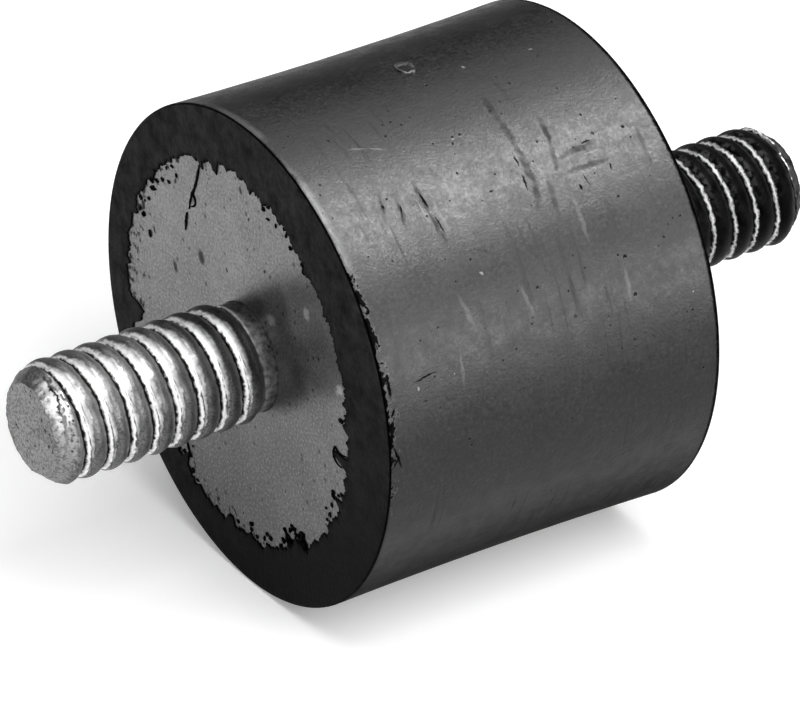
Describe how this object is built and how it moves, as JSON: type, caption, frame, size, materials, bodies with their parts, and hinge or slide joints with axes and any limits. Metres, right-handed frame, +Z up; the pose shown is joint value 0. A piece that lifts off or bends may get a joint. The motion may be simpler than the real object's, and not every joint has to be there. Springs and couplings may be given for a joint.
{
  "type": "bobbin vibration mount",
  "caption": "Round rubber-to-metal bonded vibration mount with a threaded steel stud at each end, for isolating machines and fans.",
  "frame": {"origin": "centre of the rubber, on the axis of the studs, half way between the end faces", "axes": "+X along the rear stud, towards its tip; the front stud points to -X; +Z is up as the mount lies on its side"},
  "size_m": [0.0432, 0.0254, 0.0254],
  "materials": {
    "rubber": "moulded, satin, with fine pits, scuffs and thin ragged flash over the edge of each plate",
    "plate_steel": "zinc plated, dull satin with fine dark specks",
    "stud_steel": "zinc plated rolled thread, semi-bright"
  },
  "bodies": {
    "root": {"rubber_body": "rubber", "front_plate": "plate_steel", "rear_plate": "plate_steel", "front_stud": "stud_steel", "rear_stud": "stud_steel"}
  },
  "joints": []
}
